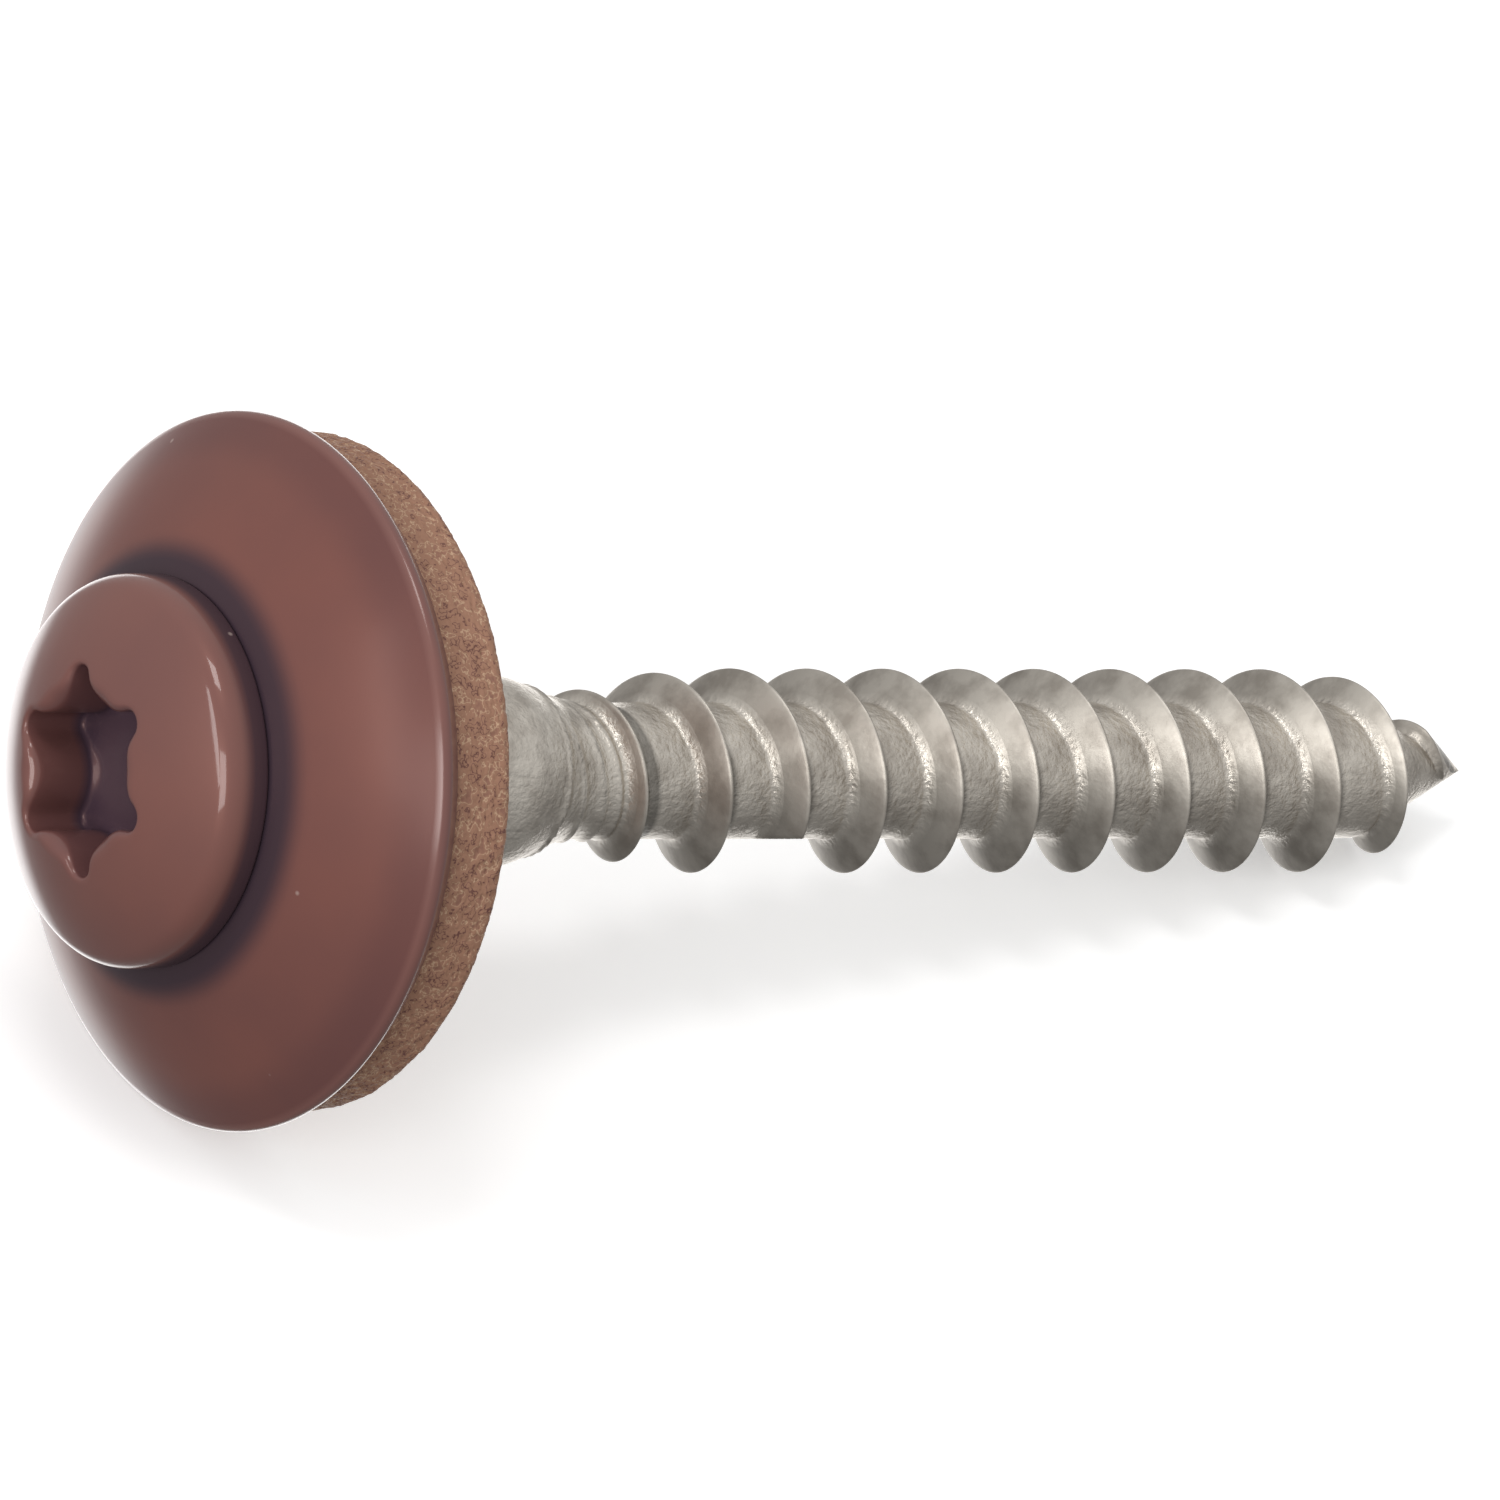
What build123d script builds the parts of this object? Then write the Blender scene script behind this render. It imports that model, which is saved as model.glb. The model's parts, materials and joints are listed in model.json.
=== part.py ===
from build123d import *
from math import asin, atan2, ceil, cos, degrees, pi, radians, sin, sqrt, tan
import os

# Tinsmith screw with a domed steel washer and a bonded rubber seal, in millimetres.
# It lies on its side: a flat of the seal's cut edge and one thread crest touch z = 0.
# A station is a distance along the screw from the bearing face under its head, positive
# towards the point. An azimuth turns about the screw from straight up towards -Y.

# Pan head with a six-lobe drive
head_radius = 4.1
head_side = 0.88
head_height = 2.25
head_edge = 0.2
lobe_diameter = 4.56
valley_diameter = 3.3
lobe_round = 0.38
drive_depth = 1.85
drive_cone = 0.45
lobe_count = 6

# Shank, from the smooth neck through the threaded core to the point
neck_radius = 2.05
neck_length = 8.3
neck_taper = 2.4
soft_share = 0.3
soft_fall = 0.19
core_radius = 1.43
screw_length = 34.2
point_length = 2.95

# Right-hand wood thread
pitch = 2.0
crest_radius = 2.15
flank_angle = 31
thread_start = 9.7
run_in = 4.7
taper_length = 4.0
shoulder_length = 2.2
shoulder_radius = 1.72
end_length = 0.5
end_radius = 0.42
root_depth = 0.12
least_crest = 0.04
points_per_turn = 16
touch_steps = 2000

# Crest missing from one turn, rolled flat down to the core
flat_turn = 3
flat_length = 1.9

# Domed washer, pressed from one thickness of sheet
washer_radius = 7.54
hole_clearance = 0.25
sheet = 0.8
dome_radius = 11.65
seat_inset = 0.07
rim_edge = 0.06

# Rubber seal, bonded under the washer
bond_line = 0.03
seal_clearance = 0.07
seal_inset = 0.02
seal_flare = 0.22
seal_depth = 2.0
seal_land = 1.1
seal_dish = 0.95

# The seal's wall is cut in short flats, and it rests on the edge of one of them
edge_flats = 30

# Roll of the screw about itself: azimuth of one drive lobe, and of the thread's start from it
roll = -36.4
start_turn = 151.2

taper_station = screw_length - taper_length
shoulder_station = screw_length - shoulder_length
end_station = screw_length - end_length
cone_station = screw_length - point_length
taper_end = neck_length + neck_taper
soft_finish = taper_end - soft_share * neck_taper


def between(low, high, share):
    return low + (high - low) * share


def core_at(station):
    """Radius of the bare shank: neck, a cone and a softer one down to the core, core, and point."""
    if station > cone_station:
        return core_radius * (screw_length - station) / point_length
    share = min(max((station - neck_length) / neck_taper, 0), 1)
    if share < 1 - soft_share:
        fall = between(0, 1 - soft_fall, share / (1 - soft_share))
    else:
        fall = 1 - soft_fall * (1 - share) / soft_share
    return between(neck_radius, core_radius, fall)


def crest_at(station):
    """Radius of the thread's crest: it rises out of the neck and runs out on the point."""
    if station < thread_start + run_in:
        rise = sin(pi / 2 * (station - thread_start) / run_in)
        return between(core_at(station), crest_radius, rise)
    if station < taper_station:
        return crest_radius
    if station < shoulder_station:
        share = (station - taper_station) / (shoulder_station - taper_station)
        return between(crest_radius, shoulder_radius, share)
    share = (station - shoulder_station) / (end_station - shoulder_station)
    return between(shoulder_radius, end_radius, share)


def azimuth_at(station):
    return radians(roll + start_turn + 360 * (station - thread_start) / pitch)


# The dome starts just inside the head's edge, and its centre lies on the axis
flat_radius = head_radius - seat_inset
dome_centre = sqrt(dome_radius**2 - flat_radius**2)
rim_angle = asin(washer_radius / dome_radius)
rim_station = dome_centre - dome_radius * cos(rim_angle)
rim_reach = washer_radius - rim_edge * sin(rim_angle)
rim_touch = rim_station + rim_edge * cos(rim_angle)

# The seal meets the inside of the sheet across the bond line and flares out to its back
inner_radius = dome_radius - sheet - bond_line
seal_edge_radius = washer_radius * (dome_radius - sheet) / dome_radius - seal_inset
seal_edge_station = dome_centre - sqrt(inner_radius**2 - seal_edge_radius**2)
seal_back = rim_station + seal_depth
seal_radius = seal_edge_radius + seal_flare
seal_reach = seal_radius * cos(pi / edge_flats)
supports = ((rim_touch, rim_reach), (seal_back, seal_reach))


def resting_tilt():
    """Slope at which the rim or the seal's back edge shares a floor with the first crest to touch."""
    crests = []
    for step in range(1, touch_steps + 1):
        station = between(thread_start, end_station, step / touch_steps)
        crests.append((station, crest_at(station) * -cos(azimuth_at(station))))
    slopes = []
    for support, reach in supports:
        slopes.append(min(atan2(reach - drop, station - support) for station, drop in crests))
    return max(slopes)


crown_rise = head_height - head_side
crown_radius = (head_radius**2 + crown_rise**2) / (2 * crown_rise)
valley_radius = valley_diameter / 2
crown_fall = crown_radius - sqrt(crown_radius**2 - valley_radius**2)

# Place of the screw: the bearing face's centre, with the axis sloping down to the point
tilt = resting_tilt()
head_reach = (head_height - crown_fall) * cos(tilt) + valley_radius * sin(tilt)
point_reach = screw_length * cos(tilt)
height = max(support * sin(tilt) + reach * cos(tilt) for support, reach in supports)
centre = Vector((head_reach - point_reach) / 2, 0, height)
up = Vector(sin(tilt), 0, cos(tilt))
along = Vector(cos(tilt), 0, -sin(tilt))
lying = Plane(origin=centre, x_dir=up, z_dir=along)
section = Plane(origin=centre, x_dir=up, z_dir=(0, 1, 0))
screw_axis = Axis(centre, along)


def drive_point(radius, angle):
    return (radius * cos(radians(angle)), radius * sin(radians(angle)))


def tangent_point(lobe_angle, valley_angle):
    """Point where a lobe's arc meets the arc of the valley beside it."""
    lobe = Vector(*drive_point(lobe_middle, lobe_angle))
    valley = Vector(*drive_point(valley_middle, valley_angle))
    return lobe + (valley - lobe).normalized() * lobe_round


# Six-lobe outline: the valley's arc is tangent to the lobe's arc on each side of it
half_step = 180 / lobe_count
lobe_middle = lobe_diameter / 2 - lobe_round
spread = lobe_middle * cos(radians(half_step))
valley_round = (lobe_middle**2 + valley_radius**2 - 2 * valley_radius * spread - lobe_round**2) / (
    2 * (lobe_round - valley_radius + spread)
)
valley_middle = valley_radius + valley_round


def ridge_edge(side, first, last):
    """One long edge of the thread's ridge over a span: side -1 or 1 at the root, 0 at the crest."""
    places = []
    for step in range(points_per_turn + 1):
        station = between(first, last, step / points_per_turn)
        root = core_at(station) - root_depth * core_at(station) / core_radius
        crest = max(crest_at(station), root + least_crest)
        reach = side * (crest - root) * tan(radians(flank_angle))
        radius = root if side else crest
        turn = azimuth_at(station)
        places.append((radius * cos(turn), radius * sin(turn), station + reach))
    with BuildLine(lying) as edge:
        Spline(*places)
    return edge.edge()


def ridge_end(edges, share):
    """Flat three-cornered face that closes the ridge at one end."""
    with BuildLine() as outline:
        Polyline(*[edge @ share for edge in edges], close=True)
    return Face(outline.wire())


# The thread's ridge: two flanks and a base sunk in the core, one span to a turn
spans = ceil((end_station - thread_start) / pitch)
stations = [between(thread_start, end_station, span / spans) for span in range(spans + 1)]
ridge_faces = []
for first, last in zip(stations, stations[1:]):
    edges = [ridge_edge(side, first, last) for side in (-1, 0, 1)]
    if first == thread_start:
        ridge_faces.append(ridge_end(edges, 0))
    for edge, neighbour in zip(edges, edges[1:] + edges[:1]):
        ridge_faces.append(Face.make_surface_from_curves(edge, neighbour))
ridge_faces.append(ridge_end(edges, 1))
ridge = Solid(Shell(ridge_faces))

# Screw: head, neck, core and point in one turned outline, with the ridge wound onto it
flat_azimuth = radians(roll + 180)
flat_start = thread_start + pitch * ((180 - start_turn) / 360 + flat_turn)
flat_out = up * cos(flat_azimuth) + Vector(0, -1, 0) * sin(flat_azimuth)
flat_plane = Plane(
    origin=centre + along * flat_start + flat_out * core_radius, x_dir=along, z_dir=flat_out
)

drive_floor = drive_depth - head_height

with BuildPart() as screw:
    with BuildSketch(section):
        with BuildLine():
            crown = RadiusArc((0, -head_height), (head_radius, -head_side), -crown_radius)
            Line((head_radius, -head_side), (head_radius, 0))
            Line((head_radius, 0), (neck_radius, 0))
            Line((neck_radius, 0), (neck_radius, neck_length))
            shank_stations = (neck_length, soft_finish, taper_end, cone_station)
            Polyline(*[(core_at(station), station) for station in shank_stations], (0, screw_length))
            Line((0, screw_length), (0, -head_height))
        outline = make_face()
        chamfer(outline.vertices().sort_by_distance((head_radius, -head_side))[0], head_edge)
    revolve(axis=screw_axis)
    add(ridge)
    with BuildSketch(flat_plane):
        Rectangle(flat_length, 2 * crest_radius)
    extrude(amount=crest_radius, mode=Mode.SUBTRACT)
    with BuildSketch(lying.offset(-head_height)):
        with BuildLine():
            for lobe in range(lobe_count):
                angle = roll + 2 * half_step * lobe
                ThreePointArc(
                    tangent_point(angle, angle - half_step),
                    drive_point(lobe_diameter / 2, angle),
                    tangent_point(angle, angle + half_step),
                )
                ThreePointArc(
                    tangent_point(angle, angle + half_step),
                    drive_point(valley_radius, angle + half_step),
                    tangent_point(angle + 2 * half_step, angle + half_step),
                )
        make_face()
    extrude(amount=drive_depth, mode=Mode.SUBTRACT)
    with BuildSketch(section):
        with BuildLine():
            Polyline(
                (0, drive_floor),
                (valley_radius, drive_floor),
                (0, drive_floor + drive_cone),
                close=True,
            )
        make_face()
    revolve(axis=screw_axis, mode=Mode.SUBTRACT)
screw.part.label = "screw"

# Washer: the sheet's outer line, flat under the head and then domed, given its thickness inwards
washer_hole = neck_radius + hole_clearance

with BuildPart() as dome_washer:
    with BuildSketch(section):
        with BuildLine():
            Line((washer_hole, 0), (flat_radius, 0))
            RadiusArc((flat_radius, 0), (washer_radius, rim_station), -dome_radius)
            offset(amount=sheet, side=Side.LEFT)
        pressed = make_face()
        chamfer(pressed.vertices().sort_by(Axis.X)[-1], rim_edge)
    revolve(axis=screw_axis)
dome_washer.part.label = "dome_washer"

# Seal: it fills the dome up to the bond line, its back is a flat land with a dished middle, and
# its wall is cut to a flaring pyramid with one flat facing down
seal_top = sheet + bond_line
seal_bore = neck_radius + seal_clearance
seal_flat = sqrt(inner_radius**2 - (dome_centre - seal_top) ** 2)
blank_station = dome_centre - sqrt(inner_radius**2 - washer_radius**2)
land_radius = seal_radius - seal_land
flare_angle = atan2(seal_flare * cos(pi / edge_flats), seal_back - seal_edge_station)
seal_cut = Plane(origin=centre + along * seal_back, x_dir=up, z_dir=-along)

with BuildPart() as rubber_seal:
    with BuildSketch(section):
        with BuildLine():
            Line((seal_bore, seal_top), (seal_flat, seal_top))
            RadiusArc((seal_flat, seal_top), (washer_radius, blank_station), -inner_radius)
            Line((washer_radius, blank_station), (washer_radius, seal_back))
            Line((washer_radius, seal_back), (land_radius, seal_back))
            Line((land_radius, seal_back), (seal_bore, seal_back - seal_dish))
            Line((seal_bore, seal_back - seal_dish), (seal_bore, seal_top))
        make_face()
    revolve(axis=screw_axis)
    with BuildSketch(seal_cut):
        RegularPolygon(seal_radius, edge_flats, rotation=180 - 180 / edge_flats)
    extrude(amount=seal_back, taper=degrees(flare_angle), mode=Mode.INTERSECT)
rubber_seal.part.label = "rubber_seal"

print(f"axis slopes down {degrees(tilt):.4f} degrees through {centre.X:.5f}, {centre.Z:.5f}")

os.makedirs("parts", exist_ok=True)
for piece in (screw.part, dome_washer.part, rubber_seal.part):
    export_step(piece, f"parts/{piece.label}.step")
    print(piece.label, piece.is_valid, piece.volume, piece.bounding_box())
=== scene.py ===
import json
import bmesh
import bpy
import numpy as np
from mathutils import Matrix, Vector


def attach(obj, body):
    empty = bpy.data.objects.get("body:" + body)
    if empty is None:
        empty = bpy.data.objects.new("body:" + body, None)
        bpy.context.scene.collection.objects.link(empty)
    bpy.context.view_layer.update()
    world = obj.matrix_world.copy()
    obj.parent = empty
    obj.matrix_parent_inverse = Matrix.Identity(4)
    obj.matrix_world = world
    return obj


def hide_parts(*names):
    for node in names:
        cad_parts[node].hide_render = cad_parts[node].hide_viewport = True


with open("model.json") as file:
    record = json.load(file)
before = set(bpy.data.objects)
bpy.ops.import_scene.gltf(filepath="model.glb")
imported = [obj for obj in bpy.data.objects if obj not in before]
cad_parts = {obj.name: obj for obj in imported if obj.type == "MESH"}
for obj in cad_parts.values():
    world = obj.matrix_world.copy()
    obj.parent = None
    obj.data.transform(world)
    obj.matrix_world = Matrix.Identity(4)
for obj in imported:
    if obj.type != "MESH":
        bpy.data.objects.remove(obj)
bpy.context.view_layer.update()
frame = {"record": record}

# Screw: one piece of cold-headed and rolled stainless steel. The pan head and its six-lobe
# recess are painted, and the shank is bare, from the smooth neck to the sharp point.
# Sizes are in millimetres, stations along the axis from the bearing face towards the point.
mm = 0.001
mounts = {mount["name"]: mount for mount in frame["record"]["mounts"]}
along = np.array(mounts["wood_thread"]["axis"])
up = np.array([-along[2], 0.0, along[0]])
aside = np.array([0.0, -1.0, 0.0])
neck_mount_station = 6.3
centre = np.array(mounts["neck"]["pos_m"]) / mm - neck_mount_station * along

columns = 180
azimuth = np.arange(columns) * 360 / columns


def place(across, sideways, station):
    """Metres in the row frame: centre + station along the axis + the two offsets square to it."""
    return mm * (
        centre
        + across[..., None] * up
        + sideways[..., None] * aside
        + station[..., None] * along
    )


def ring(radius, station, azimuth):
    """A point for each azimuth in degrees: radius * (cos, sin) across the axis, at its station."""
    turn = np.radians(azimuth)
    return place(radius * np.cos(turn), radius * np.sin(turn), station + 0 * turn)


def eased(share):
    """A share held to 0..1 and eased at both ends: 3t^2 - 2t^3."""
    share = np.clip(share, 0, 1)
    return share**2 * (3 - 2 * share)


# Drive: a six-lobe recess punched into the head, with a shallow cone drilled in its floor. The
# paint fills its corners, and rounds its mouth more between the lobes than at them
lobe_diameter = 4.56
valley_diameter = 3.3
lobe_round = 0.38
roll = -36.4
drive_depth = 1.85
drive_cone = 0.45
floor_round = 0.12
paint_film = 0.08
mouth_round_at_lobe = 0.08
mouth_round_added = 0.26


def lobe_outline(azimuth):
    """Six-lobe curve and its outward normal: the far root of a lobe's circle near a lobe,
    the near root of a valley's circle between two, with r = m cos a +- sqrt(q^2 - m^2 sin^2 a)."""
    lobe_middle = lobe_diameter / 2 - lobe_round
    valley = valley_diameter / 2
    spread = lobe_middle * np.cos(np.pi / 6)
    valley_round = (lobe_middle**2 + valley**2 - 2 * valley * spread - lobe_round**2) / (
        2 * (lobe_round - valley + spread)
    )
    valley_middle = valley + valley_round
    beside = np.radians((azimuth - roll + 30) % 60 - 30)
    facing = np.radians(azimuth) - beside
    meeting_share = lobe_round / (lobe_round + valley_round)
    meeting = np.arctan2(
        meeting_share * valley_middle * np.sin(np.pi / 6),
        lobe_middle + meeting_share * (valley_middle * np.cos(np.pi / 6) - lobe_middle),
    )
    in_lobe = np.abs(beside) < meeting
    half = np.pi / 6 - np.abs(beside)
    inside = np.clip(lobe_round**2 - (lobe_middle * np.sin(beside)) ** 2, 0, None)
    lobe_reach = lobe_middle * np.cos(beside) + np.sqrt(inside)
    outside = np.clip(valley_round**2 - (valley_middle * np.sin(half)) ** 2, 0, None)
    valley_reach = valley_middle * np.cos(half) - np.sqrt(outside)
    reach = np.where(in_lobe, lobe_reach, valley_reach)
    turn = np.radians(azimuth)
    points = np.stack([reach * np.cos(turn), reach * np.sin(turn)], -1)
    lobe_at = lobe_middle * np.stack([np.cos(facing), np.sin(facing)], -1)
    gap = facing + np.sign(beside) * np.pi / 6
    valley_at = valley_middle * np.stack([np.cos(gap), np.sin(gap)], -1)
    from_lobe = (points - lobe_at) / lobe_round
    from_valley = (valley_at - points) / valley_round
    return points, np.where(in_lobe[:, None], from_lobe, from_valley)


outline, outward = lobe_outline(azimuth)
outline = outline - outward * paint_film
floor_outline = outline - outward * floor_round
valley_share = (1 - np.cos(np.radians(6 * (azimuth - roll)))) / 2
mouth_round = (mouth_round_at_lobe + mouth_round_added * valley_share)[:, None]

# Head: a low dome with a round edge, a short straight side and a flat bearing face, headed cold
# in one with the smooth neck that the washer turns on
head_radius = 4.1
head_height = 2.25
head_edge = 0.6
edge_station = -0.62
side_stations = (-0.50, -0.36)
bearing_edge = 0.1
bearing_rings = (3.4, 2.8)
neck_radius = 2.05
neck_fillet = 0.2
neck_stations = (2.0, 4.0, 6.0, 7.2)
neck_length = 8.3
edge_middle = head_radius - head_edge
crown_rise = head_height + edge_station - head_edge
crown_radius = head_edge + (edge_middle**2 + crown_rise**2) / (2 * crown_rise)
crown_end = np.arcsin(edge_middle / (crown_radius - head_edge))


def crown_at(radius):
    """Station of the domed crown: a sphere through the head's top, tangent to its round edge."""
    return crown_radius - head_height - np.sqrt(crown_radius**2 - radius**2)


head_rows = []
shade_rows = []


def add_row(row, painted_shade):
    """Adds a ring of points to the head's grid, and the painted shade that it takes there."""
    head_rows.append(row)
    shade_rows.append(painted_shade + 0 * azimuth)


def add_curve(points, station, painted_shade):
    """The same from points in the plane across the axis."""
    add_row(place(points[:, 0], points[:, 1], station + 0 * points[:, 0]), painted_shade)


# Painted shade: darkest on the drive's floor and fading up its walls, and lighter on one side of them. It
# is dark again down the head's side and under the head
drive_floor_shade = 0.95
under_head_shade = 0.9
lighter_side = 45
lighter_side_share = 0.8
wall_steps = 5
mouth_steps = 5
# The painted shade on the drive's walls is made lighter towards one side
side_shade_share = 1 - lighter_side_share * (1 - np.cos(np.radians(azimuth - lighter_side))) / 2
wall_shade = [share * side_shade_share for share in np.linspace(0.9, 0.1, wall_steps + mouth_steps)]
floor_station = drive_depth - head_height
for share in np.linspace(0, 1, 12):
    floor_points = floor_outline * share
    reach = np.hypot(floor_points[:, 0], floor_points[:, 1])
    sink = drive_cone * np.clip(1 - reach / (valley_diameter / 2), 0, 1)
    add_curve(floor_points, floor_station + sink, drive_floor_shade)
for turn in np.linspace(0, np.pi / 2, 5)[1:]:
    points = floor_outline + outward * floor_round * np.sin(turn)
    add_curve(points, floor_station - floor_round * (1 - np.cos(turn)), drive_floor_shade)
mouth_outline = outline + outward * mouth_round
mouth_station = crown_at(np.hypot(mouth_outline[:, 0], mouth_outline[:, 1])) + mouth_round[:, 0]
wall_foot = floor_station - floor_round
for share, painted_shade in zip(np.linspace(0, 1, wall_steps + 1)[1:], wall_shade[:wall_steps]):
    add_curve(outline, wall_foot + (mouth_station - wall_foot) * share, painted_shade)
mouth_turns = np.linspace(0, np.pi / 2, mouth_steps + 2)[1:-1]
for turn, painted_shade in zip(mouth_turns, wall_shade[wall_steps:]):
    points = outline + outward * mouth_round * (1 - np.cos(turn))
    add_curve(points, mouth_station - mouth_round[:, 0] * np.sin(turn), painted_shade)
drive_rows = len(head_rows)

crown_reach = crown_radius * np.sin(crown_end)
crown_ring = crown_reach * np.stack([np.cos(np.radians(azimuth)), np.sin(np.radians(azimuth))], -1)
for share in np.linspace(0, 1, 18):
    points = mouth_outline + (crown_ring - mouth_outline) * share
    add_curve(points, crown_at(np.hypot(points[:, 0], points[:, 1])), 0.0)
edge_turns = np.linspace(crown_end, np.pi / 2, 9)[1:]
# Painted shade starts on the last ring of the round edge and darkens the head's side and underside
edge_shade = np.zeros(len(edge_turns))
edge_shade[-1] = 0.1
for turn, painted_shade in zip(edge_turns, edge_shade):
    reach = edge_middle + head_edge * np.sin(turn)
    add_row(ring(reach, edge_station - head_edge * np.cos(turn), azimuth), painted_shade)
for station, painted_shade in zip(side_stations, (0.5, under_head_shade)):
    add_row(ring(head_radius, station, azimuth), painted_shade)
for turn in np.linspace(0, np.pi / 2, 6):
    reach = head_radius - bearing_edge * (1 - np.cos(turn))
    add_row(ring(reach, -bearing_edge * (1 - np.sin(turn)), azimuth), under_head_shade)
for reach in bearing_rings:
    add_row(ring(reach, 0.0, azimuth), under_head_shade)
for turn in np.linspace(0, np.pi / 2, 5):
    reach = neck_radius + neck_fillet * (1 - np.sin(turn))
    add_row(ring(reach, neck_fillet * (1 - np.cos(turn)), azimuth), under_head_shade)
for station in (*neck_stations, neck_length):
    add_row(ring(neck_radius, station, azimuth), 0.0)
head_grid = np.array(head_rows)

# Thread: rolled out of the shank, with sharp crests of 2 mm pitch. It rises out of the neck, has
# one crest rolled flat and tapers to the point
neck_taper = 2.4
core_radius = 1.43
screw_length = 34.2
point_length = 2.95
pitch = 2.0
crest_radius = 2.15
flank_angle = 31
crest_round = 0.03
root_blend = 0.03
start_turn = 151.2
thread_start = 9.7
start_fade = 0.3
run_in = 4.7
taper_station = 30.2
shoulder_station = 32.0
shoulder_radius = 1.72
end_station = 33.7
end_radius = 0.42
end_fade = 0.7
last_flank_start = 32.4
last_flank_ease = 0.6
flat_turn = 3
flat_length = 1.9
flat_reach = 0.3
die_lines = ((0.57, 0.06), (1.14, 0.07), (1.56, 0.06))
die_line_breadth = 0.06
die_lines_middle = 10.6
die_lines_reach = 1.28
die_lines_fade = 0.8
neck_ring_station = 9.45
neck_ring_height = 0.06
neck_ring_breadth = 0.06


def core_at(station):
    """Radius of the bare shank: neck, an eased step down to the core, core, and a cone."""
    shank = neck_radius + (core_radius - neck_radius) * eased((station - neck_length) / neck_taper)
    return np.minimum(shank, core_radius * np.clip(screw_length - station, 0, None) / point_length)


def crest_at(station):
    """Radius of the crest: a quarter sine out of the neck, level, then two straight tapers."""
    rise = np.sin(np.pi / 2 * np.clip((station - thread_start) / run_in, 0, 1))
    crest = core_at(station) + (crest_radius - core_at(station)) * rise
    crest = np.where(station > thread_start + run_in, crest_radius, crest)
    first = (station - taper_station) / (shoulder_station - taper_station)
    last = (station - shoulder_station) / (end_station - shoulder_station)
    crest = np.where(first > 0, crest_radius + (shoulder_radius - crest_radius) * first, crest)
    return np.where(last > 0, shoulder_radius + (end_radius - shoulder_radius) * last, crest)


# The grid leans with the helix, so that one of its lines runs along the crest. Its rows lie close
# together on the flanks, half a pitch to either side of the crest. Those that would start up
# the neck are held at its end, and the last ones at the point
half_pitch = np.array(
    [0.02, 0.055, 0.11, 0.17, 0.23, 0.29, 0.35, 0.40, 0.44, 0.49, 0.55, 0.62, 0.69, 0.76, 0.84, 0.92]
)
offsets = np.concatenate([[0], half_pitch, [pitch / 2], pitch - half_pitch[::-1]])
turns_along = np.arange(15)
first_row_station = 4.0
lean_azimuth = np.arange(columns + 1) * 360 / columns
first_crest = (thread_start - pitch * (roll + start_turn) / 360) % pitch + first_row_station
row_offsets = (first_crest + pitch * turns_along[:, None] + offsets[None, :]).ravel()
thread_station = np.clip(
    row_offsets[:, None] + pitch * lean_azimuth[None, :] / 360, neck_length, screw_length
)
thread_turn = (lean_azimuth - roll - start_turn) / 360
nearest = np.round((thread_station - thread_start) / pitch - thread_turn)
crest_station = thread_start + pitch * (thread_turn + nearest)
away = thread_station - crest_station

# Ridge: the crest's radius less the rounded distance from it over the flank's slope. The last
# flank runs straight to the tip. Core and ridge meet in a small blend,
# (a + b + sqrt((a - b)^2 + c^2)) / 2
slope = np.tan(np.radians(flank_angle))
fade = np.clip((end_station - crest_station) / end_fade, 0, 1)
fade = fade * np.clip((crest_station - thread_start) / start_fade, 0, 1)
crest = core_at(crest_station) + (crest_at(crest_station) - core_at(crest_station)) * fade
ridge = crest - (np.sqrt(away**2 + crest_round**2) - crest_round) / slope
crest_to_tip = np.clip(screw_length - crest_station, 0.05, None)
left_over = np.clip((screw_length - thread_station) / crest_to_tip, 0, 1)
last_flank = np.clip((crest_station - last_flank_start) / last_flank_ease, 0, 1) * (away > 0)
ridge = ridge + np.clip(crest * left_over - ridge, 0, None) * last_flank
core = core_at(thread_station)
blend = root_blend * fade * left_over
thread_radius = (core + ridge + np.sqrt((core - ridge) ** 2 + blend**2)) / 2
clear_of_ridge = 0.4
thread_radius = np.where(ridge < core - clear_of_ridge, core, thread_radius)

# The fine lines that the rolling dies leave where the thread runs in, and the neck's end ring
from_die_lines = np.abs(thread_station - die_lines_middle)
die_lines_share = np.clip((die_lines_reach - from_die_lines) / die_lines_fade, 0, 1)
for line, height in die_lines:
    beside = (away - line + pitch / 2) % pitch - pitch / 2
    die_line = height * np.exp(-((beside / die_line_breadth) ** 2))
    thread_radius = thread_radius + die_line * die_lines_share
from_neck_ring = (thread_station - neck_ring_station) / neck_ring_breadth
thread_radius = thread_radius + neck_ring_height * np.exp(-(from_neck_ring**2))

# The flat crest: one side of one turn is pressed down to a flat that touches the core
flat_azimuth = np.radians(roll + 180)
flat_start = thread_start + pitch * ((180 - start_turn) / 360 + flat_turn)
facing = np.cos(np.radians(lean_azimuth) - flat_azimuth)
flat_cut = core_radius / np.clip(facing, flat_reach, 1)
in_flat = (np.abs(thread_station - flat_start) < flat_length / 2) & (facing > flat_reach)
thread_radius = np.where(in_flat, np.minimum(thread_radius, flat_cut), thread_radius)
thread_radius = thread_radius * (thread_station < screw_length)
thread_grid = ring(thread_radius, thread_station, lean_azimuth[None, :])


def grid_faces(rows, across, close_rows, close_columns, start=0):
    """Quads of a grid of points numbered row by row, joined round either way where asked."""
    row, column = np.mgrid[0 : rows - (not close_rows), 0 : across - (not close_columns)]
    below, after = (row + 1) % rows, (column + 1) % across
    quads = [row * across + column, row * across + after, below * across + after, below * across + column]
    return np.stack(quads, -1).reshape(-1, 4) + start


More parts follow.
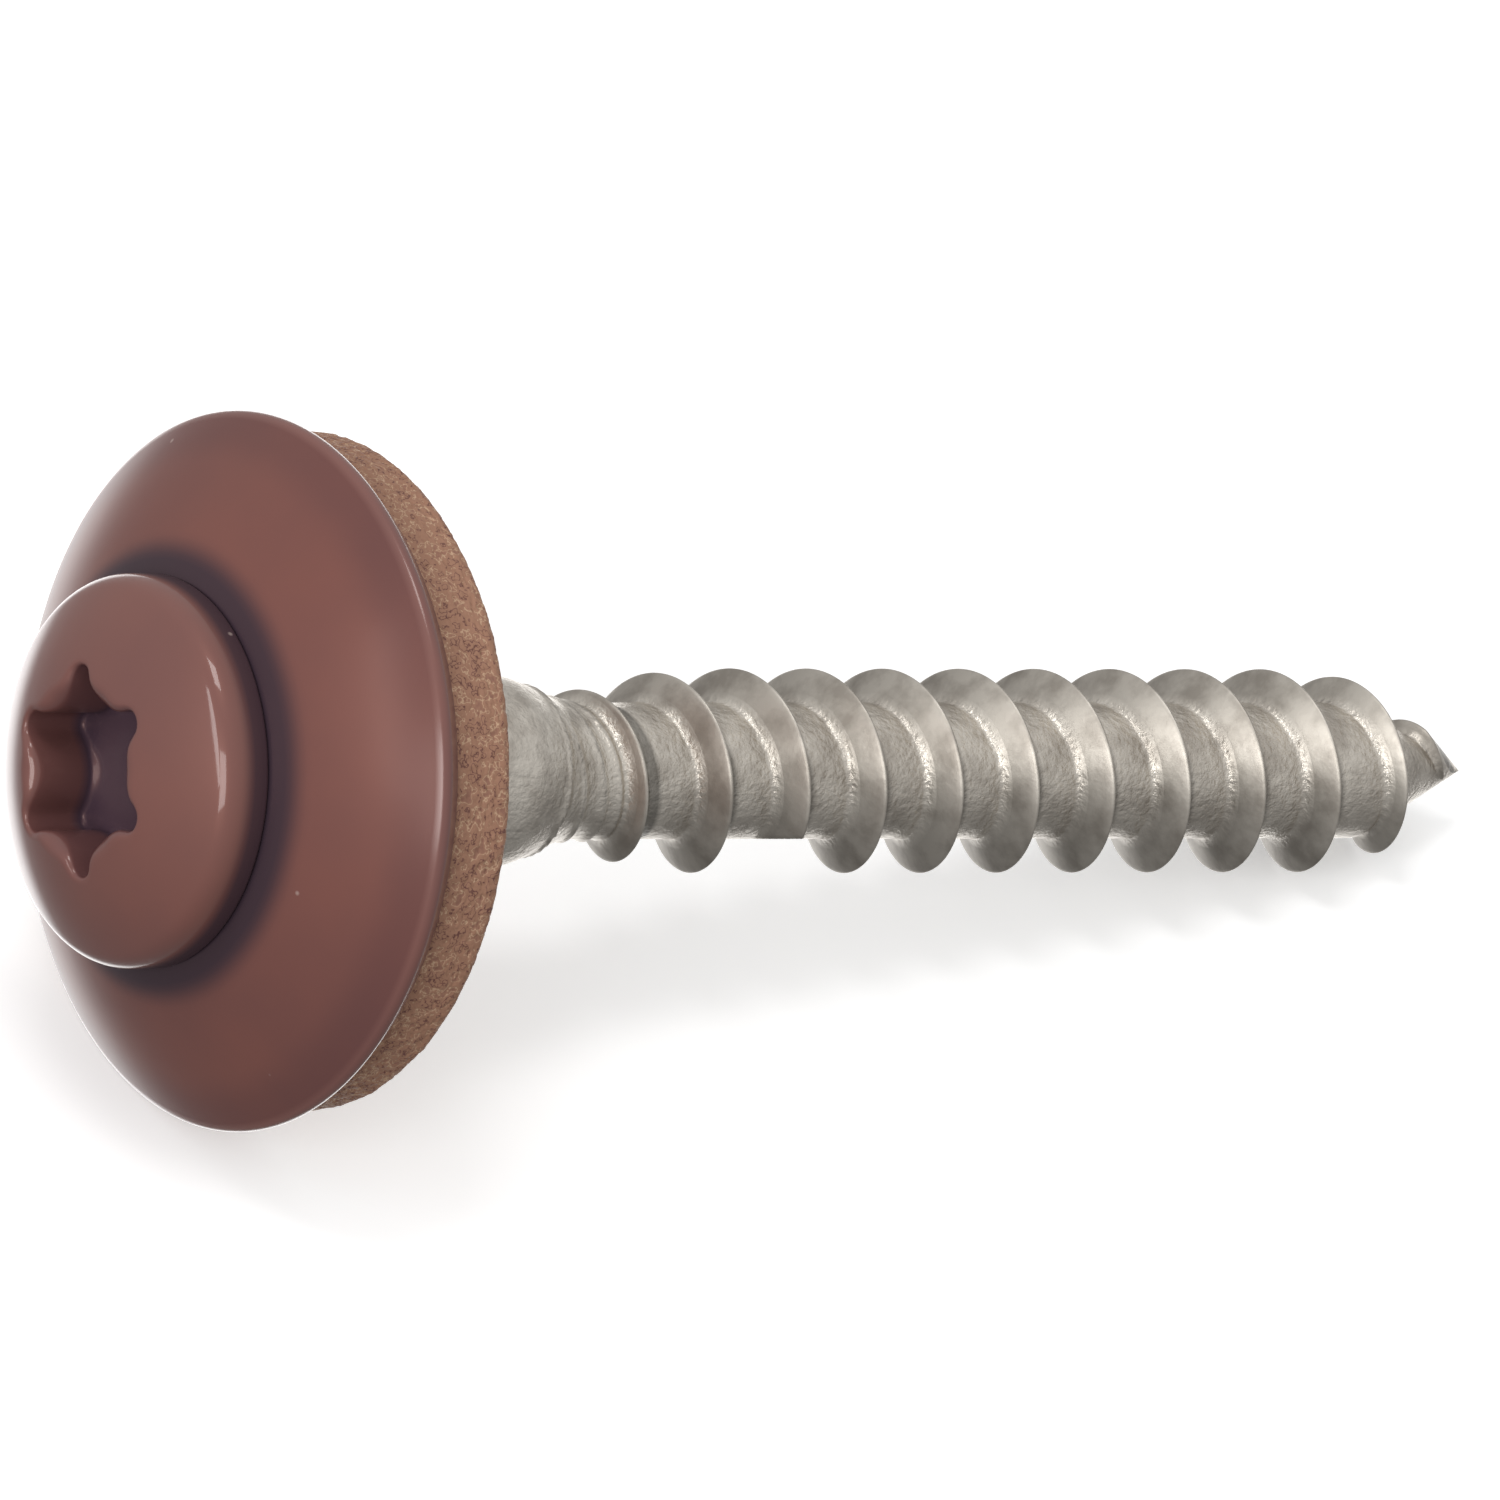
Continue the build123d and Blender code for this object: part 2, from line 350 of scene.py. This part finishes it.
def surface(name, points, quads, materials, body, nodes, values):
    """Closed mesh of the quads with its point values, doubles merged and faces turned outwards."""
    mesh = bpy.data.meshes.new(name)
    mesh.from_pydata(points.reshape(-1, 3).tolist(), [], quads.tolist())
    for label, value in values.items():
        mesh.attributes.new(label, "FLOAT", "POINT").data.foreach_set("value", value.ravel())
    work = bmesh.new()
    work.from_mesh(mesh)
    bmesh.ops.remove_doubles(work, verts=work.verts, dist=1e-7)
    bmesh.ops.dissolve_degenerate(work, edges=work.edges, dist=1e-8)
    bmesh.ops.recalc_face_normals(work, faces=work.faces)
    work.to_mesh(mesh)
    work.free()
    mesh.polygons.foreach_set("use_smooth", np.ones(len(mesh.polygons), bool))
    for material in materials:
        mesh.materials.append(material)
    piece = bpy.data.objects.new(name, mesh)
    bpy.context.collection.objects.link(piece)
    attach(piece, body)
    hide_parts(*nodes)
    return piece


def node(tree, kind, settings=None, **inputs):
    """Adds a shader node with its settings, and sets or links its inputs by name or number."""
    made = tree.nodes.new(kind)
    for name, value in (settings or {}).items():
        setattr(made, name, value)
    for name, value in inputs.items():
        socket = made.inputs[int(name[1:])] if name[1:].isdigit() else made.inputs[name.replace("_", " ")]
        if isinstance(value, bpy.types.NodeSocket):
            tree.links.new(value, socket)
        else:
            socket.default_value = value
    return made


def finish_of(name):
    """New material with its tree, surface shader and Object coordinates."""
    material = bpy.data.materials.new(name)
    material.use_nodes = True
    tree = material.node_tree
    coordinates = node(tree, "ShaderNodeTexCoord").outputs["Object"]
    return material, tree, tree.nodes["Principled BSDF"], coordinates


def point_value(tree, name):
    """The value that a piece's points hold under a name."""
    return node(tree, "ShaderNodeAttribute", {"attribute_name": name}).outputs["Fac"]


def noise(tree, coordinates, scale, detail, roughness=0.5):
    """Noise of about 0.3 to 0.7 on the coordinates, with scale in waves per metre."""
    inputs = {"Vector": coordinates, "Scale": scale, "Detail": detail, "Roughness": roughness}
    return node(tree, "ShaderNodeTexNoise", **inputs).outputs["Fac"]


def reckon(tree, operation, *values):
    """Result of a Math node on its values."""
    inputs = {f"_{number}": value for number, value in enumerate(values)}
    return node(tree, "ShaderNodeMath", {"operation": operation}, **inputs).outputs[0]


def between(tree, value, start, end, low, high, settings=None):
    """A value from start to end becomes low to high, and keeps to those beyond them."""
    made = node(tree, "ShaderNodeMapRange", settings, Value=value)
    for socket, number in zip(("From Min", "From Max", "To Min", "To Max"), (start, end, low, high)):
        made.inputs[socket].default_value = number
    return made.outputs["Result"]


def shades(tree, share, stops):
    """Colour of a ramp of (position, colour) stops at the share."""
    made = node(tree, "ShaderNodeValToRGB", Fac=share)
    ends = made.color_ramp.elements
    ends[0].position, ends[0].color = stops[0]
    ends[1].position, ends[1].color = stops[-1]
    for position, colour in stops[1:-1]:
        ends.new(position).color = colour
    return made.outputs["Color"]


def mixed(tree, share, first, second):
    """First colour where the share is 0, second where it is 1."""
    return node(
        tree, "ShaderNodeMix", {"data_type": "RGBA"}, _0=share, _6=first, _7=second
    ).outputs[2]


# Paint: baked reddish brown, a little uneven in tone, with a few specks of dust. Painted shade
# darkens it and takes off its gloss, in the drive, round the head and along the washer's brim
paint_brown = (0.160, 0.067, 0.059, 1)
paint_red = (0.182, 0.073, 0.061, 1)
# Painted shade colours: one for the groove round the head, one for the drive
groove_shade = (0.040, 0.026, 0.037, 1)
drive_shade = (0.060, 0.038, 0.056, 1)
dust_grey = (0.50, 0.40, 0.36, 1)
paint_glint = (1.0, 0.50, 0.38, 1)
shaded_gloss = 0.1
tint_scale = 260
peel_scale = 700
dust_scale = 1000
dust_rarity = 0.86
speck_radius = 0.07


def painted(name, gloss, gloss_roughness):
    """Paint with a clear coat of the given gloss, polished where the piece's points say so."""
    paint, tree, shader, coordinates = finish_of(name)
    # Painted shade from the points darkens the paint towards the groove or drive colour, and lowers the
    # coat
    painted_shade = point_value(tree, "painted_shade")
    tint = noise(tree, coordinates, tint_scale, 4)
    unshaded = shades(tree, tint, [(0.35, paint_brown), (0.65, paint_red)])
    drive = point_value(tree, "drive")
    shade_colour = shades(tree, drive, [(0.0, groove_shade), (1.0, drive_shade)])
    clean = mixed(tree, painted_shade, unshaded, shade_colour)
    dust = node(tree, "ShaderNodeTexVoronoi", Vector=coordinates, Scale=dust_scale)
    speck = between(tree, dust.outputs["Distance"], 0.03, speck_radius, 0.5, 0.0)
    chance = node(tree, "ShaderNodeSeparateColor", Color=dust.outputs["Color"]).outputs[0]
    settled = reckon(tree, "MULTIPLY", speck, reckon(tree, "GREATER_THAN", chance, dust_rarity))
    tree.links.new(mixed(tree, settled, clean, dust_grey), shader.inputs["Base Color"])
    lacquer = between(tree, painted_shade, 0.0, 1.0, gloss, shaded_gloss)
    coat = reckon(tree, "ADD", lacquer, point_value(tree, "polish"))
    tree.links.new(coat, shader.inputs["Coat Weight"])
    peel = noise(tree, coordinates, peel_scale, 2)
    bump = node(tree, "ShaderNodeBump", Height=peel, Strength=0.05, Distance=0.0001)
    tree.links.new(bump.outputs["Normal"], shader.inputs["Normal"])
    shader.inputs["Roughness"].default_value = 0.36
    shader.inputs["Specular IOR Level"].default_value = 0.4
    shader.inputs["Specular Tint"].default_value = paint_glint
    shader.inputs["Coat Roughness"].default_value = gloss_roughness
    return paint


# Bare stainless steel: satin rolled flanks, and a brighter core that the rolling left scaly, with
# small pits and stains. The flanks that face the point are darkened with painted shade
steel_stained = (0.45, 0.41, 0.36, 1)
steel_clean = (0.65, 0.605, 0.54, 1)
stain_scale = 1100
grain_scale = 7000
steel, tree, shader, coordinates = finish_of("bare_steel")
in_core = between(tree, point_value(tree, "height"), 0.03, 0.30, 1.0, 0.0)
stain = noise(tree, coordinates, stain_scale, 5, 0.6)
stained = shades(tree, stain, [(0.36, steel_stained), (0.58, steel_clean)])
bright = between(tree, in_core, 0.0, 1.0, 0.84, 1.12)
# Painted shade on the flanks that face the point darkens the steel there
flank_shading = between(tree, point_value(tree, "flank_shade"), 0.0, 1.0, 1.0, 0.45)
tone = reckon(tree, "MULTIPLY", bright, flank_shading)
toned = node(tree, "ShaderNodeVectorMath", {"operation": "MULTIPLY"}, _0=stained, _1=tone)
tree.links.new(toned.outputs[0], shader.inputs["Base Color"])
shader.inputs["Metallic"].default_value = 1.0
scaly = reckon(tree, "MULTIPLY", noise(tree, coordinates, grain_scale, 3, 0.6), in_core)
grain = reckon(tree, "MULTIPLY", noise(tree, coordinates, grain_scale, 2), 0.10)
pitted = reckon(tree, "ADD", scaly, grain)
bump = node(tree, "ShaderNodeBump", Height=pitted, Strength=1.0, Distance=0.00004)
tree.links.new(bump.outputs["Normal"], shader.inputs["Normal"])
tree.links.new(between(tree, in_core, 0.0, 1.0, 0.46, 0.38), shader.inputs["Roughness"])

# The screw's skin is the head's grid and then the thread's. The painted part ends at the fillet.
# Height is 0 at the core and 1 at the crests, and the neck counts as low
screw_points = np.concatenate([head_grid.reshape(-1, 3), thread_grid.reshape(-1, 3)])
screw_quads = np.concatenate(
    [
        grid_faces(len(head_grid), columns, False, True),
        grid_faces(len(thread_grid), columns + 1, False, False, len(head_grid) * columns),
    ]
)
neck_height = 0.12
dark_start = 0.1
dark_end = 0.66
dark_fade = 0.1
dark_crest_height = 0.3
paint_end = 0.1
bare_thread = np.zeros(thread_radius.size)
bare_head = np.zeros((len(head_grid), columns))
drive_grid = bare_head.copy()
drive_grid[:drive_rows] = 1
thread_height = np.clip((thread_radius - core) / (crest_radius - core_radius), 0, 1)
# Painted shade: a dark band on each flank that faces the point, just past the crest
flank_shade = np.clip((away - dark_start) / dark_fade, 0, 1)
flank_shade = flank_shade * np.clip((dark_end - away) / dark_fade, 0, 1)
flank_shade = flank_shade * (crest > core + dark_crest_height)
screw = surface(
    "screw_rolled",
    screw_points,
    screw_quads,
    [painted("head_paint", 0.7, 0.07), steel],
    "screw",
    ["screw"],
    {
        "height": np.concatenate([(bare_head + neck_height).ravel(), thread_height.ravel()]),
        "painted_shade": np.concatenate([np.array(shade_rows).ravel(), bare_thread]),
        "drive": np.concatenate([drive_grid.ravel(), bare_thread]),
        "flank_shade": np.concatenate([bare_head.ravel(), flank_shade.ravel()]),
    },
)
face_middle = np.empty(len(screw.data.polygons) * 3)
screw.data.polygons.foreach_get("center", face_middle)
face_station = (face_middle.reshape(-1, 3) / mm - centre) @ along
screw.data.polygons.foreach_set("material_index", (face_station > paint_end).astype(np.int32))

# Washer: one disc of steel sheet pressed into a dome and painted with the head. Its punched
# edge is rounded by the paint. It turns on the neck, and can't pass the head or the thread.
washer_radius = 7.575
washer_hole = 2.3
hole_edge = 0.08
sheet = 0.8
dome_radius = 11.65
seat_margin = 0.07
flat_radius = head_radius - seat_margin
rim_round = 0.19
washer_columns = 256
dome_centre = np.sqrt(dome_radius**2 - flat_radius**2)
dome_middle = np.array([0.0, dome_centre])
inner_radius = dome_radius - sheet
rim_angle = np.arcsin(washer_radius / dome_radius)
rim_station = dome_centre - dome_radius * np.cos(rim_angle)


def arc(middle, radius, first, last, count):
    """Points (radius, station) on a circle in the section: angles from straight up the axis."""
    angles = np.linspace(first, last, count)
    return middle + radius * np.stack([np.sin(angles), -np.cos(angles)], -1)


def turned(profile, count):
    """Surface of revolution: each (radius, station) of the profile carried round the axis."""
    angles = np.arange(count) * 360 / count
    return ring(profile[:, :1], profile[:, 1:], angles[None, :])


flat_angle = np.arcsin(flat_radius / dome_radius)
outer_turn = rim_angle - rim_round / (dome_radius - rim_round)
outer_corner = arc(dome_middle, dome_radius - rim_round, outer_turn, outer_turn, 1)[0]
inner_turn = rim_angle - rim_round / (inner_radius + rim_round)
inner_corner = arc(dome_middle, inner_radius + rim_round, inner_turn, inner_turn, 1)[0]
inner_flat = np.arccos((dome_centre - sheet) / inner_radius)
seat = [[washer_hole + hole_edge, 0.0], [3.2, 0.0]]
dome = arc(dome_middle, dome_radius, flat_angle, outer_turn, 30)
painted_rim = arc(outer_corner, rim_round, rim_angle, rim_angle + np.pi / 2, 9)[1:]
under_rim = arc(inner_corner, rim_round, rim_angle + np.pi / 2, rim_angle + np.pi, 7)
under_dome = arc(dome_middle, inner_radius, inner_turn, inner_flat, 16)[1:]
under_seat = [[3.0, sheet], [washer_hole + hole_edge, sheet]]
hole = [[washer_hole, sheet - hole_edge], [washer_hole, hole_edge]]
washer_profile = np.concatenate([seat, dome, painted_rim, under_rim, under_dome, under_seat, hole])

# Painted shade in the groove round the head, where the head casts its shadow on the dome, and a little
# along the brim. The rim's round edge takes none, and has a thinner, glossier coat
groove_radius = 4.4
groove_fade = 0.6
brim_radius = 6.3
brim_fade = 0.8
brim_shade = 0.25
rim_polish = 0.8
profile_radius = washer_profile[:, 0]
painted_shade = eased(1 - (profile_radius - groove_radius) / groove_fade)
painted_shade = painted_shade + brim_shade * eased((profile_radius - brim_radius) / brim_fade)
polish = np.zeros(len(washer_profile))
rim_start = len(seat) + len(dome) - 1
rim_rows = slice(rim_start, rim_start + 1 + len(painted_rim))
painted_shade[rim_rows] = 0
polish[rim_rows] = rim_polish
surface(
    "washer_pressed",
    turned(washer_profile, washer_columns),
    grid_faces(len(washer_profile), washer_columns, True, True),
    [painted("washer_paint", 0.1, 0.2)],
    "washer",
    ["dome_washer"],
    {"painted_shade": np.repeat(painted_shade, washer_columns), "polish": np.repeat(polish, washer_columns)},
)

# Seal: a disc of porous rubber moulded into the dome and bonded there. Its cut edge is coarse,
# and the paint sprayed over the washer has dusted it. It rides with the washer.
bond_line = 0.03
seal_bore = 2.12
bore_station = 2.0
seal_edge_radius = 7.0
seal_radius = 7.1
seal_proud = 2.0
seal_back = rim_station + seal_proud
seal_land = 1.1
seal_dish = 0.95
seal_corner = 0.25
rubber_columns = 900
wall_rows = 44
net_rows = 64
girth = 44


def cells_at(cells, at_azimuth, at_path):
    """Where a point lies on a net of square cells that closes round the seal's girth in
    millimetres: column, row, and how far across and down its cell."""
    across = at_azimuth / 360 * cells
    down = at_path * cells / girth
    column, row = np.floor(across).astype(int), np.floor(down).astype(int)
    return column, row, across - column, down - row


def lumps(cells, seed, at_azimuth, at_path):
    """Smooth noise of 0 to 1: random values on the net, eased between neighbours."""
    values = np.random.default_rng(seed).random((cells, net_rows))
    column, row, u, v = cells_at(cells, at_azimuth, at_path)
    u, v = eased(u), eased(v)
    next_column, next_row = (column + 1) % cells, (row + 1) % net_rows
    column, row = column % cells, row % net_rows
    here = values[column, row] * (1 - u) + values[next_column, row] * u
    below = values[column, next_row] * (1 - u) + values[next_column, next_row] * u
    return here * (1 - v) + below * v


def pores(cells, seed, at_azimuth, at_path, size):
    """Depth of 0 to 1 inside round pores: one random centre in each cell, deepest of nine."""
    jitter = np.random.default_rng(seed).random((cells, net_rows, 3))
    column, row, u, v = cells_at(cells, at_azimuth, at_path)
    sunk = np.zeros(np.broadcast(u, v).shape)
    for left in (-1, 0, 1):
        for over in (-1, 0, 1):
            spot = jitter[(column + left) % cells, (row + over) % net_rows]
            gap = np.hypot(u - left - spot[..., 0], v - over - spot[..., 1])
            reach = size * (0.4 + spot[..., 2])
            sunk = np.maximum(sunk, np.clip(1 - (gap / reach) ** 2, 0, 1))
    return sunk


rubber_radius = inner_radius - bond_line
rubber_edge = np.arcsin(seal_edge_radius / rubber_radius)
rubber_flat = np.arccos((dome_centre - sheet - bond_line) / rubber_radius)
edge_top = dome_centre - rubber_radius * np.cos(rubber_edge)
land = seal_radius - seal_land
under_washer = [[seal_bore, sheet + bond_line], [3.0, sheet + bond_line]]
bonded = arc(dome_middle, rubber_radius, rubber_flat, rubber_edge, 14)[:-1]
wall = np.linspace([seal_edge_radius, edge_top], [seal_radius, seal_back - seal_corner], wall_rows)
corner_middle = np.array([seal_radius - seal_corner, seal_back - seal_corner])
corner = arc(corner_middle, seal_corner, np.pi / 2, np.pi, 8)[1:]
land_face = np.linspace([seal_radius - seal_corner, seal_back], [land, seal_back], 10)[1:]
dish = np.linspace([land, seal_back], [seal_bore, seal_back - seal_dish], 12)[1:]
seal_profile = np.concatenate(
    [under_washer, bonded, wall, corner, land_face, dish, [[seal_bore, bore_station]]]
)

# The cut skin: three sizes of lumps and two of pores, sunk into the wall and the land only
deepest = 0.17
pore_size = 0.3
land_fade = 0.6
wall_start = 0.5
wall_fade = 0.4
wall_relief = 0.6
rubber_azimuth = np.arange(rubber_columns) * 360 / rubber_columns
seal_r = seal_profile[:, :1] + 0 * rubber_azimuth[None, :]
seal_s = seal_profile[:, 1:] + 0 * rubber_azimuth[None, :]
path = np.concatenate([[0], np.cumsum(np.hypot(*np.diff(seal_profile, axis=0).T))])[:, None]
at_azimuth = rubber_azimuth[None, :] + 0 * path
at_path = path + 0 * at_azimuth
sunk = 0
for depth, cells, seed in ((0.04, 60, 1), (0.035, 260, 2), (0.03, 440, 3)):
    sunk = sunk + depth * lumps(cells, seed, at_azimuth, at_path)
for depth, cells, seed, squeeze in ((0.05, 200, 4, 1.6), (0.04, 330, 5, 1.5)):
    sunk = sunk + depth * pores(cells, seed, at_azimuth, squeeze * at_path, pore_size)
outer_share = np.clip((seal_profile[:, :1] - land) / land_fade, 0, 1)
outer_share[: len(under_washer) + len(bonded)] = 0
sunk = sunk * outer_share
wall_share = np.clip((seal_r - land - wall_start) / wall_fade, 0, 1)
seal_r = seal_r - wall_relief * sunk * wall_share
seal_s = seal_s - sunk * (1 - wall_share)

# Rubber: orange brown, with short dark marks in its grain and sparse light specks
rubber_brown = (0.35, 0.185, 0.12, 1)
rubber_dark = (0.12, 0.045, 0.04, 1)
rubber_light = (0.56, 0.38, 0.25, 1)
rubber_deep = (0.29, 0.145, 0.10, 1)
rubber_scale = 3800
depth_share = 0.22
rubber, tree, shader, coordinates = finish_of("porous_rubber")
grain = noise(tree, coordinates, rubber_scale, 2, 0.65)
level = reckon(tree, "MULTIPLY_ADD", point_value(tree, "depth"), depth_share, grain)
rubber_stops = [
    (0.45, rubber_brown),
    (0.480, rubber_dark),
    (0.51, rubber_brown),
    (0.64, rubber_brown),
    (0.665, rubber_light),
    (0.69, rubber_brown),
    (0.78, rubber_deep),
]
tree.links.new(shades(tree, level, rubber_stops), shader.inputs["Base Color"])
bump = node(tree, "ShaderNodeBump", {"invert": True}, Height=grain, Strength=0.6, Distance=0.00008)
tree.links.new(bump.outputs["Normal"], shader.inputs["Normal"])
shader.inputs["Roughness"].default_value = 0.6
shader.inputs["Specular IOR Level"].default_value = 0.3

surface(
    "seal_moulded",
    ring(seal_r, seal_s, rubber_azimuth[None, :]),
    grid_faces(len(seal_profile), rubber_columns, True, True),
    [rubber],
    "washer",
    ["rubber_seal"],
    {"depth": sunk / deepest},
)

# Camera: a long lens level with the photograph's, turned so that the screw lies across the frame
camera_distance = 800
view_angle = np.radians(53.31)
elevation = np.radians(35.4)
pixels_per_mm = 48.241
frame_pixels = 1500
sensor_width = 36
aim_right, aim_down = -12.356, 0.437
tilt = np.arcsin(-along[2])
look_z = -np.sin(elevation)
look_x = (np.cos(view_angle) + look_z * np.sin(tilt)) / np.cos(tilt)
look = np.array([look_x, np.sqrt(1 - look_x**2 - look_z**2), look_z])
right = (along - np.cos(view_angle) * look) / np.sin(view_angle)
down = np.cross(look, right)
left, above, near = -right, -down, -look
lens = bpy.data.cameras.new("camera")
lens.sensor_width = sensor_width
lens.lens = pixels_per_mm * camera_distance * sensor_width / frame_pixels
lens.clip_start = 0.01
lens.clip_end = 10
camera = bpy.data.objects.new("camera", lens)
stand = mm * (centre - aim_right * right - aim_down * down + camera_distance * near)
turned_axes = np.stack([right, above, near], -1)
camera.matrix_world = Matrix.Translation(Vector(stand)) @ Matrix(turned_axes.tolist()).to_4x4()
bpy.context.collection.objects.link(camera)
bpy.context.scene.camera = camera

# Studio: a plain pale floor and three soft boxes. The floor has a little glow of its own and
# shows to the camera only, so that it takes the shadow and isn't mirrored in the screw
floor_mesh = bpy.data.meshes.new("floor")
floor_mesh.from_pydata([(-1, -1, 0), (1, -1, 0), (1, 1, 0), (-1, 1, 0)], [], [(0, 1, 2, 3)])
floor = bpy.data.objects.new("floor", floor_mesh)
bpy.context.collection.objects.link(floor)
floor_paint, tree, shader, coordinates = finish_of("floor_white")
shader.inputs["Base Color"].default_value = (0.9, 0.9, 0.9, 1)
shader.inputs["Roughness"].default_value = 0.9
shader.inputs["Specular IOR Level"].default_value = 0.1
shader.inputs["Emission Color"].default_value = (1, 1, 1, 1)
shader.inputs["Emission Strength"].default_value = 0.35
floor_mesh.materials.append(floor_paint)
floor.visible_glossy = False
floor.visible_diffuse = False
floor.visible_shadow = False


def soft_box(name, toward, lengthwise, distance, size, power):
    """Area light at a distance in metres along a direction from the screw, facing it, with its
    longer side as near to the lengthwise direction as that allows."""
    light = bpy.data.lights.new(name, "AREA")
    light.shape = "RECTANGLE"
    light.size, light.size_y = size
    light.energy = power
    lamp = bpy.data.objects.new(name, light)
    away = Vector(toward).normalized()
    across = Vector(lengthwise).cross(away).normalized()
    lamp.matrix_world = Matrix.Translation(away * distance) @ Matrix(
        [across, away.cross(across), away]
    ).transposed().to_4x4()
    bpy.context.collection.objects.link(lamp)


soft_box("key_box", 0.36 * left - 0.06 * above + 0.93 * near, above, 0.6, (0.24, 0.24), 1.05)
soft_box("crest_box", 0.05 * left + 0.75 * above + 0.66 * near, above, 0.6, (0.16, 0.16), 0.6)
strip_lean = 0.46 * above - 0.20 * near
soft_box("strip_box", 0.62 * left + 0.20 * above + 0.75 * near, strip_lean, 0.5, (0.05, 0.30), 0.32)

# The studio's walls: a soft glow that is strongest above, and a bright screen behind the screw
world = bpy.data.worlds.new("studio")
bpy.context.scene.world = world
world.use_nodes = True
tree = world.node_tree
direction = node(tree, "ShaderNodeTexCoord").outputs["Generated"]


def glow(toward, first, last, dim, bright):
    """Brightness that rises from dim to bright with the cosine of the angle to a direction."""
    settings = {"operation": "DOT_PRODUCT"}
    cosine = node(tree, "ShaderNodeVectorMath", settings, _0=direction, _1=Vector(toward).normalized())
    eased_rise = {"interpolation_type": "SMOOTHSTEP"}
    return between(tree, cosine.outputs["Value"], first, last, dim, bright, eased_rise)


walls = reckon(
    tree,
    "ADD",
    glow(0.15 * right + 0.60 * above + 0.60 * near, -0.9, 0.9, 0.22, 0.72),
    glow(look, 0.79, 0.91, 0.0, 2.0),
)
tree.nodes["Background"].inputs["Color"].default_value = (1, 1, 1, 1)
tree.links.new(walls, tree.nodes["Background"].inputs["Strength"])
bpy.context.scene.view_settings.view_transform = "Standard"
